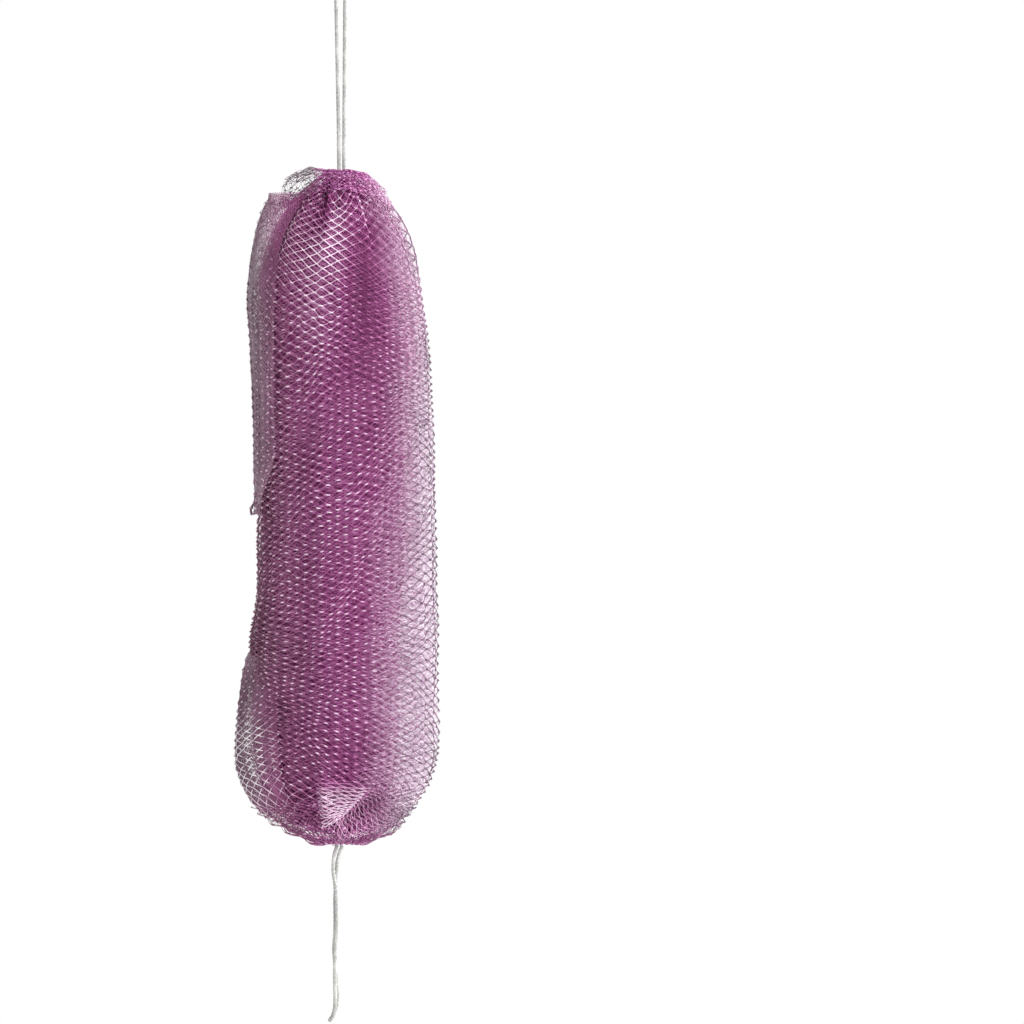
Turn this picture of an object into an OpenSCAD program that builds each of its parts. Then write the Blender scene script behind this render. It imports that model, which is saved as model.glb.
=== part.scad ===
// Mesh bath and back scrubber: a long bundle of nested net sleeves, gathered and lashed at both
// ends, with a cord loop for each hand. It hangs from its top loop.
// Millimetres, +Z up, +X to the right seen from the front. The origin is the hang point, inside
// the bight of the top loop.

/* [Net body] */
// Height of the net body's top neck
neck_top_z = -112; // [-118:1:-108]
// Height of the net body's bottom neck
neck_bottom_z = -450; // [-460:1:-440]
// Width of the net body, as a share of its usual 94 mm
width_scale = 1; // [0.9:0.05:1.1]
// Half the thickness of the net body, front to back
half_depth = 33; // [28:1:38]
// Thickness of the outer net sleeve
outer_wall = 3.6; // [3:0.2:4]
// Thickness of the middle net sleeve
middle_wall = 5; // [4:0.5:5]
// Thickness of the inner net sleeve
inner_wall = 4.6; // [4:0.2:5]
// Gap between two layers of netting
layer_gap = 0.4; // [0.3:0.1:0.6]

/* [Cord] */
// Diameter of the nylon cord
cord_d = 2; // [1.8:0.1:2.2]
// Sides of the cord's tube
cord_sides = 8; // [8:1:10]
// Distance between the two strands where they enter the net
strand_gap = 2.6; // [2.4:0.1:3]
// Radius of a stopper knot
knot_r = 3; // [2.6:0.1:3.2]

/* [Lashing] */
// Diameter of the lashing twine
twine_d = 1.2; // [1:0.1:1.3]
// Turns of twine round each neck
twine_turns = 3; // [3:1:3]
// Radius of the lashing, at the middle of the twine
lashing_r = 4.2; // [4:0.1:4.4]

/* [Detail] */
// Points round a net sleeve
around = 30; // [24:2:36]
// Rings along the net body
along = 24; // [20:1:30]

/* [Hidden] */
$fn = 48;

cord_r = cord_d / 2;
twine_r = twine_d / 2;

// Where each hand loop's two strands leave the net, which is where the loop bends.
top_exit = [0.5, 0, -106.5];
bottom_exit = [-0.8, 0, -457];
exit_gap = cord_r + 0.4;

// The net body's outline: height, reach to the left, reach to the right and half the thickness.
// The shares of height run from the top neck to the bottom neck.
neck_r = 5;
outline = [
    [0.00, 5, 5, 0.15], [0.02, 17, 18, 0.44], [0.055, 29, 28, 0.70], [0.11, 39, 36.5, 0.90],
    [0.20, 44, 42, 1.00], [0.34, 43, 46.5, 1.00], [0.52, 43.8, 48, 1.00], [0.70, 44.2, 49, 1.00],
    [0.85, 46, 49.5, 1.00], [0.91, 43, 47, 0.94], [0.955, 35.5, 39, 0.78], [0.985, 24, 27, 0.50],
    [1.00, 5, 5, 0.15]
];
body_stations = [for (s = outline) [
    neck_top_z + s[0] * (neck_bottom_z - neck_top_z),
    s[1] > neck_r ? s[1] * width_scale : neck_r,
    s[2] > neck_r ? s[2] * width_scale : neck_r,
    s[3] * half_depth
]];
last = len(outline) - 1;
mid_z = (neck_top_z + neck_bottom_z) / 2;
half_len = (neck_top_z - neck_bottom_z) / 2;
hole_r = 3.6;

// The cut net ends that stand up round the top neck and fold out over the shoulders.
top_ruffle_stations = [
    [-107.8, 6, 6.5, 6], [-109, 17, 11, 9], [-111.2, 25, 15.2, 12], [-115, 30, 19, 15], [-120, 36, 22.5, 18]
];
// The looped net ends that hang round the bottom neck.
bottom_ruffle_stations = [
    [-455.8, 6, 6.5, 6], [-455.4, 12, 14, 10], [-453.5, 20, 22, 14.5], [-450, 28.5, 29, 20], [-446.5, 33, 34, 23.5]
];

// Folds of the outer netting that stand off the left side: height and reach.
upper_fold = [
    [-122.6, 37.5], [-128, 40.5], [-136, 43.5], [-145, 45.2], [-155, 46.8], [-170, 48.2], [-180, 48.2],
    [-195, 47], [-215, 45.8], [-245, 45.1], [-270, 45], [-286, 45.6]
];
lower_fold = [
    [-357, 47.8], [-367, 50.6], [-383, 52.8], [-399, 54.3], [-408, 54.8], [-416, 54.2], [-424, 51.6],
    [-432, 47.4], [-440, 40.8]
];
upper_fold_arc = 34;
lower_fold_arc = 40;
fold_edge = 0.6;

// Route of the top loop: up the left strand, over the hook and down the right strand.
top_route = [
    [-0.8, 0, -106.5], [-0.9, 0, -95], [-1.1, 0, -80], [-1.4, 0, -65], [-1.7, 0, -50], [-2, 0, -35],
    [-2.3, 0, -21], [-2.8, 0, -15], [-3.5, 0, -9.5], [-4.1, 0, -5.5], [-4.2, 0, -3.2], [-3.6, 0, -1.1],
    [-2.1, 0, 0.4], [0, 0, 1], [2.1, 0, 0.4], [3.6, 0, -1.1], [4.2, 0, -3.2], [4.1, 0, -5.5],
    [3.5, 0, -9.5], [2.8, 0, -15], [2.3, 0, -21], [2.2, 0, -35], [2.1, 0, -50], [2, 0, -65],
    [1.9, 0, -80], [1.8, 0, -95], [1.8, 0, -106.5]
];
// Route of the bottom loop: down the front strand, round its small eye and up the back strand.
bottom_route = [
    [-2.1, 0, -457], [-3.4, -0.6, -462], [-3.7, -1, -469], [-2.8, -1.2, -476], [-2.2, -1.2, -484],
    [-2, -1.2, -493], [-2.1, -1.2, -502], [-2.4, -1.2, -509], [-2.8, -1.2, -516], [-2.9, -1.3, -523],
    [-2.8, -1.5, -530], [-2.7, -2.6, -535.5], [-2.9, -4, -539.8], [-3.9, -4.2, -543.3], [-5, -2.7, -545.3],
    [-5.5, 0, -546], [-5, 2.7, -545.3], [-3.6, 4.2, -543.3], [-2.4, 4, -539.8], [-1.8, 2.6, -535.5],
    [-1.7, 1.5, -530], [-2.2, 1.3, -523], [-3, 1.2, -516], [-3.5, 1.1, -509], [-3, 1.2, -502],
    [-2.8, 1.2, -493], [-2.9, 1.2, -484], [-2.5, 1.2, -476], [-2.2, 0.9, -469], [-1.1, 0.5, -462],
    [0.5, 0, -457]
];

// Catmull-Rom blend of four rows, t from the second to the third.
function blend4(a, b, c, d, t) =
    b + 0.5 * t * (c - a + t * (2 * a - 5 * b + 4 * c - d + t * (3 * (b - c) + d - a)));

function row(list, i) = list[max(0, min(len(list) - 1, i))];

// The row of a station list at a place that need not be whole.
function station(list, u) =
    let (i = min(floor(u), len(list) - 2), t = u - i)
    blend4(row(list, i - 1), row(list, i), row(list, i + 1), row(list, i + 2), t);

// A body station moved inwards by a layer's depth, and never narrower than a cord's way through.
function inset(s, depth, least) = [
    mid_z + (s[0] - mid_z) * (half_len - depth) / half_len,
    max(least, s[1] - depth), max(least, s[2] - depth), max(least, s[3] - depth)
];

// One ring of points: half an ellipse to the right and half to the left.
function ring(s) = [for (i = [0:around - 1])
    let (a = 360 * i / around)
    [cos(a) * (cos(a) > 0 ? s[2] : s[1]), sin(a) * s[3], s[0]]
];

function layer(depth, least, from, to) = [for (i = [0:along - 1])
    ring(inset(station(body_stations, from + (to - from) * i / (along - 1)), depth, least))
];

// Two triangles for each cell of a grid of points. Each row holds n points, and closes on itself.
function grid_faces(rows, n, first, inside) = [for (i = [0:rows - 2], j = [0:n - 1])
    let (
        k = (j + 1) % n,
        a = first + i * n + j, b = first + i * n + k,
        c = first + (i + 1) * n + k, d = first + (i + 1) * n + j
    )
    each inside ? [[a, c, b], [a, d, c]] : [[a, b, c], [a, c, d]]
];

// The wall between an outer and an inner set of rings, both from the top down.
module wall(outer, inner) {
    n = len(outer[0]);
    rows = len(outer);
    in = n * rows;
    rims = [for (j = [0:n - 1])
        let (k = (j + 1) % n, bo = (rows - 1) * n, bi = in + (rows - 1) * n)
        each [[j, in + j, in + k], [j, in + k, k],
              [bo + j, bo + k, bi + k], [bo + j, bi + k, bi + j]]
    ];
    polyhedron(
        points = concat([for (r = outer) each r], [for (r = inner) each r]),
        faces = concat(
            grid_faces(rows, n, 0, false),
            grid_faces(rows, n, in, true),
            rims
        ),
        convexity = 6
    );
}

module sleeve(depth, thickness, from, to, hole = hole_r) {
    wall(
        layer(depth, hole + 0.6, from, to),
        layer(depth + thickness, hole, from, to)
    );
}

// A tube swept along a route: each ring faces along the route at its point.
function direction(route, i) =
    let (d = row(route, i + 1) - row(route, i - 1))
    d / norm(d);

function across(route, i) =
    let (d = direction(route, i), s = cross(d, [0, 1, 0]))
    norm(s) > 0.2 ? s / norm(s) : [1, 0, 0];

function tube_ring(route, i) =
    let (d = direction(route, i), s = across(route, i), t = cross(d, s))
    [for (j = [0:cord_sides - 1])
        let (a = 360 * j / cord_sides)
        route[i] + cord_r * (cos(a) * s + sin(a) * t)
    ];

module tube(route) {
    rows = len(route);
    n = cord_sides;
    end = (rows - 1) * n;
    polyhedron(
        points = [for (i = [0:rows - 1]) each tube_ring(route, i)],
        faces = concat(
            grid_faces(rows, n, 0, true),
            [[for (j = [0:n - 1]) j]],
            [[for (j = [n - 1:-1:0]) end + j]]
        ),
        convexity = 8
    );
}

// A stopper knot: three crossed turns of cord round a tight middle.
module knot() {
    turn_r = knot_r - cord_r * 0.8;
    sphere(r = turn_r + 0.2);
    for (tilt = [[0, 90, 0], [60, 0, 45], [-60, 0, 45]])
        rotate(tilt)
            rotate_extrude()
                translate([turn_r, 0])
                    circle(r = cord_r * 0.8);
}

// Turns of twine pulled tight round the gathered netting.
module lashing() {
    pitch = twine_d * 0.95;
    for (i = [0:twine_turns - 1])
        translate([0, 0, i * pitch])
            rotate_extrude()
                translate([lashing_r, 0])
                    circle(r = twine_r);
}

// A fold of netting along the left side, from a thin edge at the front round to the back.
module fold(reaches, arc) {
    steps = 8;
    function body_at(z) =
        let (
            share = (z - neck_top_z) / (neck_bottom_z - neck_top_z),
            i = max([for (k = [0:last - 1]) if (outline[k][0] <= share) k]),
            t = (share - outline[i][0]) / (outline[i + 1][0] - outline[i][0])
        )
        station(body_stations, i + t);
    function section(reach_row) =
        let (
            s = body_at(reach_row[0]),
            z = reach_row[0],
            near = s[1] + layer_gap + 0.4,
            far = max(reach_row[1], near + fold_edge * 2)
        )
        concat(
            [for (i = [0:steps])
                let (a = -arc + 2 * arc * i / steps, swell = pow(cos(90 * a / arc), 0.7))
                [-cos(a) * (near + fold_edge + (far - near - fold_edge) * swell),
                 sin(a) * (s[3] + layer_gap + 0.4 + fold_edge), z]],
            [for (i = [steps:-1:0])
                let (a = -arc + 2 * arc * i / steps)
                [-cos(a) * near, sin(a) * (s[3] + layer_gap + 0.4), z]]
        );
    rings = [for (r = reaches) section(r)];
    n = len(rings[0]);
    rows = len(rings);
    end = (rows - 1) * n;
    strip = function (base, flip) [for (i = [0:steps - 1])
        let (a = base + i, b = base + i + 1, c = base + n - 2 - i, d = base + n - 1 - i)
        each flip ? [[a, d, c], [a, c, b]] : [[a, c, d], [a, b, c]]
    ];
    polyhedron(
        points = [for (r = rings) each r],
        faces = concat(grid_faces(rows, n, 0, true), strip(0, false), strip(end, true)),
        convexity = 4
    );
}

// Rings of a ruffle: its own stations outside, and the body's surface plus a gap inside.
module ruffle(stations, from, to) {
    rows = 9;
    wall_rows = [for (i = [0:rows - 1]) i / (rows - 1)];
    function clear_of_body(s) = inset(s, -layer_gap, lashing_r + twine_r + 0.3);
    wall(
        [for (t = wall_rows) ring(station(stations, t * (len(stations) - 1)))],
        [for (t = wall_rows) ring(clear_of_body(station(body_stations, from + (to - from) * t)))]
    );
}

module top_hand_loop() {
    color("whitesmoke") tube(top_route);
}

module bottom_hand_loop() {
    color("whitesmoke") tube(bottom_route);
}

// A knot with the two strands that run from it to where the loop bends.
module knot_with_strands(knot_z, exit, strand_z) {
    translate([0, 0, knot_z]) knot();
    low = min(knot_z, strand_z);
    for (side = [-1, 1])
        translate([exit[0] + side * strand_gap / 2, 0, low])
            cylinder(r = cord_r, h = abs(knot_z - strand_z));
}

top_knot_z = neck_top_z - 3.5;
bottom_knot_z = neck_bottom_z + 3.5;

module top_stopper_knot() {
    color("gainsboro") knot_with_strands(top_knot_z, top_exit, top_exit[2] - exit_gap);
}

module bottom_stopper_knot() {
    color("gainsboro") knot_with_strands(bottom_knot_z, bottom_exit, bottom_exit[2] + exit_gap);
}

module top_lashing() {
    color("thistle") translate([0, 0, neck_top_z + twine_r + 0.1]) lashing();
}

module bottom_lashing() {
    color("thistle")
        translate([0, 0, neck_bottom_z - twine_r - 0.1 - (twine_turns - 1) * twine_d * 0.95])
            lashing();
}

module core_cord() {
    top = top_knot_z - knot_r + 1;
    bottom = bottom_knot_z + knot_r - 1;
    color("whitesmoke")
        translate([0, 0, bottom]) cylinder(r = cord_r, h = top - bottom);
}

module net_core_roll() {
    depth = outer_wall + middle_wall + inner_wall + 3 * layer_gap;
    bore = [0, cord_r + 0.3, cord_r + 0.3, cord_r + 0.3];
    from = 1.6;
    to = last - 1.6;
    rings = layer(depth, bore[1] + 2, from, to);
    color("mediumvioletred")
        wall(rings, [for (r = rings) ring([r[0][2], bore[1], bore[2], bore[3]])]);
}

module inner_net_sleeve() {
    color("mediumorchid") sleeve(outer_wall + middle_wall + 2 * layer_gap, inner_wall, 1.2, last - 1.2);
}

module middle_net_sleeve() {
    color("orchid") sleeve(outer_wall + layer_gap, middle_wall, 0.9, last - 0.9);
}

module outer_net_sleeve() {
    color("plum") sleeve(0, outer_wall, 0, last);
}

module upper_left_fold() {
    color("thistle") fold(upper_fold, upper_fold_arc);
}

module lower_left_fold() {
    color("thistle") fold(lower_fold, lower_fold_arc);
}

module top_ruffle() {
    color("plum") ruffle(top_ruffle_stations, 0, 1.25);
}

module bottom_ruffle() {
    color("plum") ruffle(bottom_ruffle_stations, last, last - 1.2);
}

top_hand_loop();
top_stopper_knot();
top_lashing();
top_ruffle();
core_cord();
net_core_roll();
inner_net_sleeve();
middle_net_sleeve();
outer_net_sleeve();
upper_left_fold();
lower_left_fold();
bottom_ruffle();
bottom_lashing();
bottom_stopper_knot();
bottom_hand_loop();
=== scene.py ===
import math

import bpy
import numpy as np
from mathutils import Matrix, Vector
from mathutils.bvhtree import BVHTree


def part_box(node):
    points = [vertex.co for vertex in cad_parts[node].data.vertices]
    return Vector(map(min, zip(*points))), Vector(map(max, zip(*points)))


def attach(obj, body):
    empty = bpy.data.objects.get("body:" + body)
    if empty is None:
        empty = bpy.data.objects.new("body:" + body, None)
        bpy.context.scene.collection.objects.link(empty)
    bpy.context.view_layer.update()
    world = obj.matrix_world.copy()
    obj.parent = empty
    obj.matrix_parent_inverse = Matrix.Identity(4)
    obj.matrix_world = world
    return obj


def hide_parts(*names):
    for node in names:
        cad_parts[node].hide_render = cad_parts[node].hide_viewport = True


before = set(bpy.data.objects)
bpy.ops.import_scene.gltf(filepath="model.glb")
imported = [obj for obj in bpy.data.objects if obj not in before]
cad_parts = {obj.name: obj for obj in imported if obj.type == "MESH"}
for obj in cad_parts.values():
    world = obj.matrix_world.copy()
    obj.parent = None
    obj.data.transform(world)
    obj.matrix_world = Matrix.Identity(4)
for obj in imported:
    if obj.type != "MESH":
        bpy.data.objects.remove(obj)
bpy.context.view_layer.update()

MM = 0.001

# -------- camera
# The camera looks along +Y from straight in front. The object hangs left of the picture's middle.
CAMERA_DISTANCE = 2.5
VIEW_WIDTH = 0.5274
VIEW_LEFT_OF_MIDDLE = 0.0883
VIEW_TOP_BELOW_HOOK = 0.0206


def make_camera():
    data = bpy.data.cameras.new("camera")
    data.sensor_width = 36
    data.lens = data.sensor_width * CAMERA_DISTANCE / VIEW_WIDTH
    data.clip_end = 20
    camera = bpy.data.objects.new("camera", data)
    bpy.context.scene.collection.objects.link(camera)
    middle_z = -VIEW_TOP_BELOW_HOOK - VIEW_WIDTH / 2
    camera.location = (VIEW_LEFT_OF_MIDDLE, -CAMERA_DISTANCE, middle_z)
    camera.rotation_euler = (math.pi / 2, 0, 0)
    bpy.context.scene.camera = camera


make_camera()


# -------- mesh tools
def unit(v):
    return v / np.maximum(np.linalg.norm(v, axis=-1, keepdims=True), 1e-12)


def bump(x, middle, width):
    return np.exp(-(((x - middle) / width) ** 2))


def step(x, low, high):
    t = np.clip((x - low) / (high - low), 0, 1)
    return t * t * (3 - 2 * t)


def smooth_line(points, step_length):
    """A Catmull-Rom line through the points, with a point about every step_length."""
    p = np.array([points[0], *points, points[-1]], float)
    line = []
    for a, b, c, d in zip(p[:-3], p[1:-2], p[2:-1], p[3:], strict=True):
        count = max(2, int(np.linalg.norm(c - b) / step_length))
        for t in np.arange(count)[:, None] / count:
            line.append(b + 0.5 * t * (c - a + t * (2 * a - 5 * b + 4 * c - d + t * (3 * (b - c) + d - a))))
    return np.array([*line, p[-1]])


def distance_along(line):
    return np.concatenate([[0], np.cumsum(np.linalg.norm(np.diff(line, axis=0), axis=1))])


def new_mesh(name, parts, shine=None):
    """An object from (vertices, faces, faces, ...) parts. Each faces array has its own count of corners."""
    vertices, corners, totals, first = [], [], [], 0
    for points, *groups in parts:
        vertices.append(points)
        for faces in groups:
            corners.append((faces + first).ravel())
            totals.append(np.full(len(faces), faces.shape[1]))
        first += len(points)
    vertices, corners, totals = (np.concatenate(x) for x in (vertices, corners, totals))
    mesh = bpy.data.meshes.new(name)
    mesh.vertices.add(len(vertices))
    mesh.vertices.foreach_set("co", np.ascontiguousarray(vertices, np.float32).ravel())
    mesh.loops.add(len(corners))
    mesh.loops.foreach_set("vertex_index", corners.astype(np.int32))
    mesh.polygons.add(len(totals))
    starts = np.concatenate([[0], np.cumsum(totals)[:-1]])
    mesh.polygons.foreach_set("loop_start", starts.astype(np.int32))
    mesh.polygons.foreach_set("loop_total", totals.astype(np.int32))
    if shine is not None:
        values = mesh.attributes.new("shine", "FLOAT", "POINT")
        values.data.foreach_set("value", np.ascontiguousarray(np.concatenate(shine), np.float32))
    mesh.update(calc_edges=True)
    mesh.validate()
    mesh.shade_smooth()
    piece = bpy.data.objects.new(name, mesh)
    bpy.context.scene.collection.objects.link(piece)
    return piece


def ring_faces(index):
    """Quads between the rings of lines x rings x sides, and the two faces that close each line."""
    a, b = index[:, :-1], index[:, 1:]
    quads = np.stack([a, np.roll(a, -1, 2), np.roll(b, -1, 2), b], -1).reshape(-1, 4)
    return quads, np.concatenate([index[:, 0, ::-1], index[:, -1]])


def tubes(paths, normals, radii, sides):
    """Closed tubes along many lines at once. paths and normals are lines x points x 3."""
    tangent = unit(np.gradient(paths, axis=1))
    across = unit(np.cross(tangent, normals))
    up = np.cross(across, tangent)
    angle = 2 * math.pi * np.arange(sides) / sides
    ring = np.cos(angle)[:, None] * up[:, :, None] + np.sin(angle)[:, None] * across[:, :, None]
    points = paths[:, :, None] + radii[:, :, None, None] * ring
    index = np.arange(radii.size * sides).reshape(*radii.shape, sides)
    return (points.reshape(-1, 3), *ring_faces(index))


# The radius of the rings that round off the end of a rope.
DOME = np.array([0.35, 0.75, 0.95])


def rope(line, radius, strands, pitch, groove, sides=18):
    """A closed tube with the lobes of twisted strands, round at its ends."""
    tangent = unit(np.gradient(line, axis=0))
    back = np.sqrt(1 - DOME**2)[:, None] * radius
    line = np.concatenate([line[0] - tangent[0] * back, line, line[-1] + tangent[-1] * back[::-1]])
    tangent = unit(np.gradient(line, axis=0))
    side = np.empty_like(line)
    start = np.cross(tangent[0], (0.3, 1, 0.2))
    for i, along in enumerate(tangent):
        start = unit(start - (start @ along) * along)
        side[i] = start
    other = np.cross(tangent, side)
    run = distance_along(line)[:, None]
    angle = 2 * math.pi * np.arange(sides) / sides
    lobes = np.abs(np.cos(strands / 2 * (angle - 2 * math.pi * run / pitch)))
    scale = np.ones(len(line))
    scale[: len(DOME)] = DOME
    scale[-len(DOME) :] = DOME[::-1]
    reach = radius * scale[:, None] * (1 - groove * (1 - lobes))
    ring = np.cos(angle)[:, None] * side[:, None] + np.sin(angle)[:, None] * other[:, None]
    index = np.arange(len(line) * sides).reshape(1, -1, sides)
    return ((line[:, None] + reach[:, :, None] * ring).reshape(-1, 3), *ring_faces(index))


# -------- materials
def material(name):
    """A new material, its node tree, its shader and the point's place on the object."""
    made = bpy.data.materials.new(name)
    made.use_nodes = True
    tree = made.node_tree
    return made, tree, tree.nodes["Principled BSDF"], node(tree, "TexCoord").outputs["Object"]


def node(tree, kind, **values):
    made = tree.nodes.new("ShaderNode" + kind)
    for key, value in values.items():
        if key in made.inputs:
            made.inputs[key].default_value = value
        else:
            setattr(made, key, value)
    return made


def ramp(tree, source, stops):
    made = node(tree, "ValToRGB")
    steps = made.color_ramp.elements
    while len(steps) < len(stops):
        steps.new(0.5)
    for element, (place, colour) in zip(steps, stops, strict=True):
        element.position = place
        element.color = (*colour, 1)
    tree.links.new(source, made.inputs["Fac"])
    return made.outputs["Color"]


def noise(tree, place, scale, detail=3.0, roughness=0.55):
    made = node(tree, "TexNoise", Scale=scale, Detail=detail, Roughness=roughness)
    tree.links.new(place, made.inputs["Vector"])
    return made.outputs["Fac"]


def ranged(tree, source, low, high, to_low, to_high):
    made = node(tree, "MapRange")
    for index, value in enumerate((low, high, to_low, to_high), 1):
        made.inputs[index].default_value = value
    tree.links.new(source, made.inputs[0])
    return made.outputs[0]


def spread(tree, cloud, to_low, to_high):
    """A noise, which lies between about 0.3 and 0.7, spread over the range that is wanted."""
    return ranged(tree, cloud, 0.3, 0.7, to_low, to_high)


def maths(tree, operation, a, b):
    made = node(tree, "Math", operation=operation)
    for socket, value in zip(made.inputs, (a, b), strict=False):
        if isinstance(value, float):
            socket.default_value = value
        else:
            tree.links.new(value, socket)
    return made.outputs[0]


def mixed(tree, share, a, b):
    made = node(tree, "Mix", data_type="RGBA")
    for index, value in ((0, share), (6, a), (7, b)):
        tree.links.new(value, made.inputs[index])
    return made.outputs[2]


def height(tree, source, shader, distance, strength=1.0):
    made = node(tree, "Bump", Strength=strength, Distance=distance)
    tree.links.new(source, made.inputs["Height"])
    tree.links.new(made.outputs["Normal"], shader.inputs["Normal"])


# The shine at which a filament has its hollow, its strand and its knot colour. The knot colour is a painted
# highlight, and the hollow colour is the filament's deep colour darkened as painted shade.
SHINE_STOPS = (0.0, 0.4, 0.95)


def net_material(name, middle, left, right=None, left_shade_edge=(-0.044, -0.004)):
    """Nylon filament. middle, left and right are each its hollow, strand and knot colour, picked by shine.

    Left is painted shade of the left side, and turns to middle between the two x given as its edge. Right is
    painted light of the backlit right side, pale in the inner layers and dark outlines in the outer net, and
    it starts further in towards the body's ends."""
    made, tree, shader, place = material(name)
    shine = node(tree, "Attribute", attribute_name="shine").outputs["Fac"]
    cloud = noise(tree, place, 38.0)
    fine = noise(tree, place, 1100.0, 1.0)
    level = maths(tree, "ADD", shine, spread(tree, cloud, -0.07, 0.07))
    level = maths(tree, "ADD", level, spread(tree, fine, -0.08, 0.08))
    in_middle, painted_left_shade, painted_backlit_right = (
        ramp(tree, level, list(zip(SHINE_STOPS, colours, strict=True)))
        for colours in (middle, left, right or middle)
    )
    parts = node(tree, "SeparateXYZ")
    tree.links.new(place, parts.inputs[0])
    wander = maths(tree, "ADD", parts.outputs["X"], ranged(tree, cloud, 0.2, 0.8, -0.006, 0.006))
    # Towards the left the colour turns to painted shade, and towards the right to painted backlit light.
    to_left_shade = ranged(tree, wander, *left_shade_edge, 1.0, 0.0)
    nearer_below = ranged(tree, parts.outputs["Z"], -0.20, -0.36, -0.005, 0.008)
    nearer_above = ranged(tree, parts.outputs["Z"], -0.17, -0.13, 0.0, 0.012)
    nearer = maths(tree, "ADD", nearer_below, nearer_above)
    to_backlit_right = ranged(tree, maths(tree, "ADD", wander, nearer), 0.018, 0.042, 0.0, 1.0)
    colour = mixed(tree, to_backlit_right, mixed(tree, to_left_shade, in_middle, painted_left_shade), painted_backlit_right)
    tree.links.new(colour, shader.inputs["Base Color"])
    tree.links.new(spread(tree, cloud, 0.28, 0.5), shader.inputs["Roughness"])
    shader.inputs["Sheen Weight"].default_value = 0.15
    shader.inputs["Sheen Roughness"].default_value = 0.4
    return made


def cord_material(name, dark, light, scale=900.0):
    made, tree, shader, place = material(name)
    cloud = noise(tree, place, 90.0)
    fibre = noise(tree, place, scale, 4.0, 0.65)
    level = maths(tree, "ADD", spread(tree, cloud, -0.2, 0.2), fibre)
    tree.links.new(ramp(tree, level, [(0.25, dark), (0.7, light)]), shader.inputs["Base Color"])
    tree.links.new(spread(tree, fibre, 0.5, 0.75), shader.inputs["Roughness"])
    height(tree, fibre, shader, 0.0002, 0.5)
    shader.inputs["Sheen Weight"].default_value = 0.2
    return made


def dress(piece, look, body, cad_node):
    piece.data.materials.append(look)
    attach(piece, body)
    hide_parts(cad_node)


WHITE_CORD = cord_material("white_nylon_cord", (0.26, 0.26, 0.25), (0.60, 0.60, 0.58))
TWINE = cord_material("mauve_twine", (0.30, 0.16, 0.26), (0.62, 0.44, 0.58), 1400.0)

# -------- cords
CORD_D = 2 * MM
CORD_STRANDS = 3
ROUTE_STEP = 0.45 * MM
# x, y and z of each point of a loop's route, in mm, from one strand's bend round to the other's.
TOP_ROUTE = [
    (-0.8, 0, -106.5), (-0.9, 0, -95), (-1.1, 0, -80), (-1.4, 0, -65), (-1.7, 0, -50), (-2, 0, -35),
    (-2.3, 0, -21), (-2.8, 0, -15), (-3.5, 0, -9.5), (-4.1, 0, -5.5), (-4.2, 0, -3.2), (-3.6, 0, -1.1),
    (-2.1, 0, 0.4), (0, 0, 1), (2.1, 0, 0.4), (3.6, 0, -1.1), (4.2, 0, -3.2), (4.1, 0, -5.5),
    (3.5, 0, -9.5), (2.8, 0, -15), (2.3, 0, -21), (2.2, 0, -35), (2.1, 0, -50), (2, 0, -65),
    (1.9, 0, -80), (1.8, 0, -95), (1.8, 0, -106.5),
]
BOTTOM_ROUTE = [
    (-2.1, 0, -457), (-3.4, -0.6, -462), (-3.7, -1, -469), (-2.8, -1.2, -476), (-2.2, -1.2, -484),
    (-2, -1.2, -493), (-2.1, -1.2, -502), (-2.4, -1.2, -509), (-2.8, -1.2, -516), (-2.9, -1.3, -523),
    (-2.8, -1.5, -530), (-2.7, -2.6, -535.5), (-2.9, -4, -539.8), (-3.9, -4.2, -543.3), (-5, -2.7, -545.3),
    (-5.5, 0, -546), (-5, 2.7, -545.3), (-3.6, 4.2, -543.3), (-2.4, 4, -539.8), (-1.8, 2.6, -535.5),
    (-1.7, 1.5, -530), (-2.2, 1.3, -523), (-3, 1.2, -516), (-3.5, 1.1, -509), (-3, 1.2, -502),
    (-2.8, 1.2, -493), (-2.9, 1.2, -484), (-2.5, 1.2, -476), (-2.2, 0.9, -469), (-1.1, 0.5, -462),
    (0.5, 0, -457),
]


def hand_loop(name, body, cad_node, route, pitch, groove):
    line = smooth_line(np.array(route) * MM, ROUTE_STEP)
    piece = new_mesh(name, [rope(line, CORD_D / 2, CORD_STRANDS, pitch, groove)])
    dress(piece, WHITE_CORD, body, cad_node)


KNOT_RADIUS = 2 * MM
KNOT_FROM_END = 3 * MM
KNOT_TURNS = ((1.45, 0.2), (0.5, 1.4), (-0.7, 2.7))
KNOT_LAY = dict(strands=CORD_STRANDS, pitch=6 * MM, groove=0.16)


def knot_turn(middle, tilt, twist):
    """A little over one turn of cord round a knot, tilted about X and then turned about Z."""
    a = np.linspace(0, 2 * math.pi * 1.1, 60)
    radius = KNOT_RADIUS
    x, y, z = radius * np.cos(a), radius * np.sin(a) * math.cos(tilt), radius * np.sin(a) * math.sin(tilt)
    c, s = math.cos(twist), math.sin(twist)
    return np.stack([c * x - s * y, s * x + c * y, z], -1) + middle


def stopper_knot(name, ends, knot_node, bend_z):
    """The knot under a neck, with the two strands that run from it to where the loop bends."""
    low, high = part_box(knot_node)
    inner_z = low.z + KNOT_FROM_END if bend_z > low.z else high.z - KNOT_FROM_END
    middle = np.array([0, 0, inner_z])
    parts = []
    for x in ends:
        strand = np.linspace((x * MM, 0, bend_z), (x * MM * 0.8, 0, inner_z), 40)
        parts.append(rope(strand, CORD_D / 2, **KNOT_LAY))
    for tilt, twist in KNOT_TURNS:
        parts.append(rope(knot_turn(middle, tilt, twist), CORD_D * 0.42, **KNOT_LAY))
    dress(new_mesh(name, parts), WHITE_CORD, "scrubber", knot_node)


TWINE_RADIUS = 0.6 * MM
TWINE_TURNS = 3.05


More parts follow.
